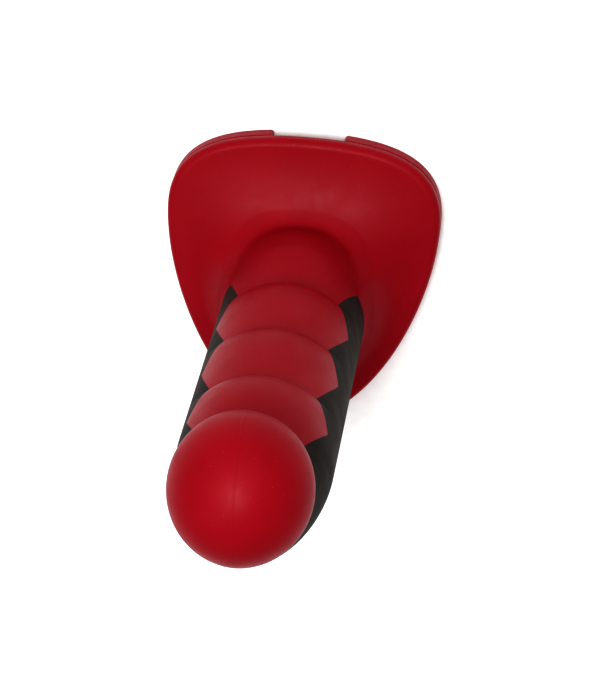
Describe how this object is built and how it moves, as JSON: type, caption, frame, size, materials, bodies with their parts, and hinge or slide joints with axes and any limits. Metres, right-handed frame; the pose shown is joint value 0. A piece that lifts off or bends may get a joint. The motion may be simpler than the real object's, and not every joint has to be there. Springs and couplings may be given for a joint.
{
  "type": "two-colour silicone massager",
  "caption": "Adult product: two-colour ridged silicone shaft with a ball-shaped head on a flared base. The weights inside, and so all joints, are inferred and not seen.",
  "frame": {"origin": "on the shaft's axis, at the flat back face of the base that the object stands on", "axes": "+Z along the shaft to the head, +Y towards the ridged front and the notch of the base, +X to the side"},
  "size_m": [0.0802, 0.0888, 0.1819],
  "materials": {
    "red_silicone": "satin, moulded",
    "black_silicone": "satin, moulded",
    "core_silicone": "matt, moulded",
    "capsule_plastic": "smooth, moulded",
    "weight_steel": "ground and polished"
  },
  "bodies": {
    "body": {"red_body": "red_silicone", "black_back": "black_silicone", "rear_pad": "red_silicone", "core_plug": "core_silicone", "core_spacer_1": "core_silicone", "core_spacer_2": "core_silicone", "capsule_cup_1": "capsule_plastic", "capsule_cap_1": "capsule_plastic", "capsule_cup_2": "capsule_plastic", "capsule_cap_2": "capsule_plastic", "capsule_cup_3": "capsule_plastic", "capsule_cap_3": "capsule_plastic"},
    "weight_1": {"weight_ball_1": "weight_steel"},
    "weight_2": {"weight_ball_2": "weight_steel"},
    "weight_3": {"weight_ball_3": "weight_steel"}
  },
  "joints": [
    {"name": "weight_1_slide", "type": "slide", "parent": "body", "child": "weight_1", "axis": [0, 0, 1], "range_m": [0, 0.005]},
    {"name": "weight_2_slide", "type": "slide", "parent": "body", "child": "weight_2", "axis": [0, 0, 1], "range_m": [0, 0.005]},
    {"name": "weight_3_slide", "type": "slide", "parent": "body", "child": "weight_3", "axis": [0, 0, 1], "range_m": [0, 0.005]}
  ]
}
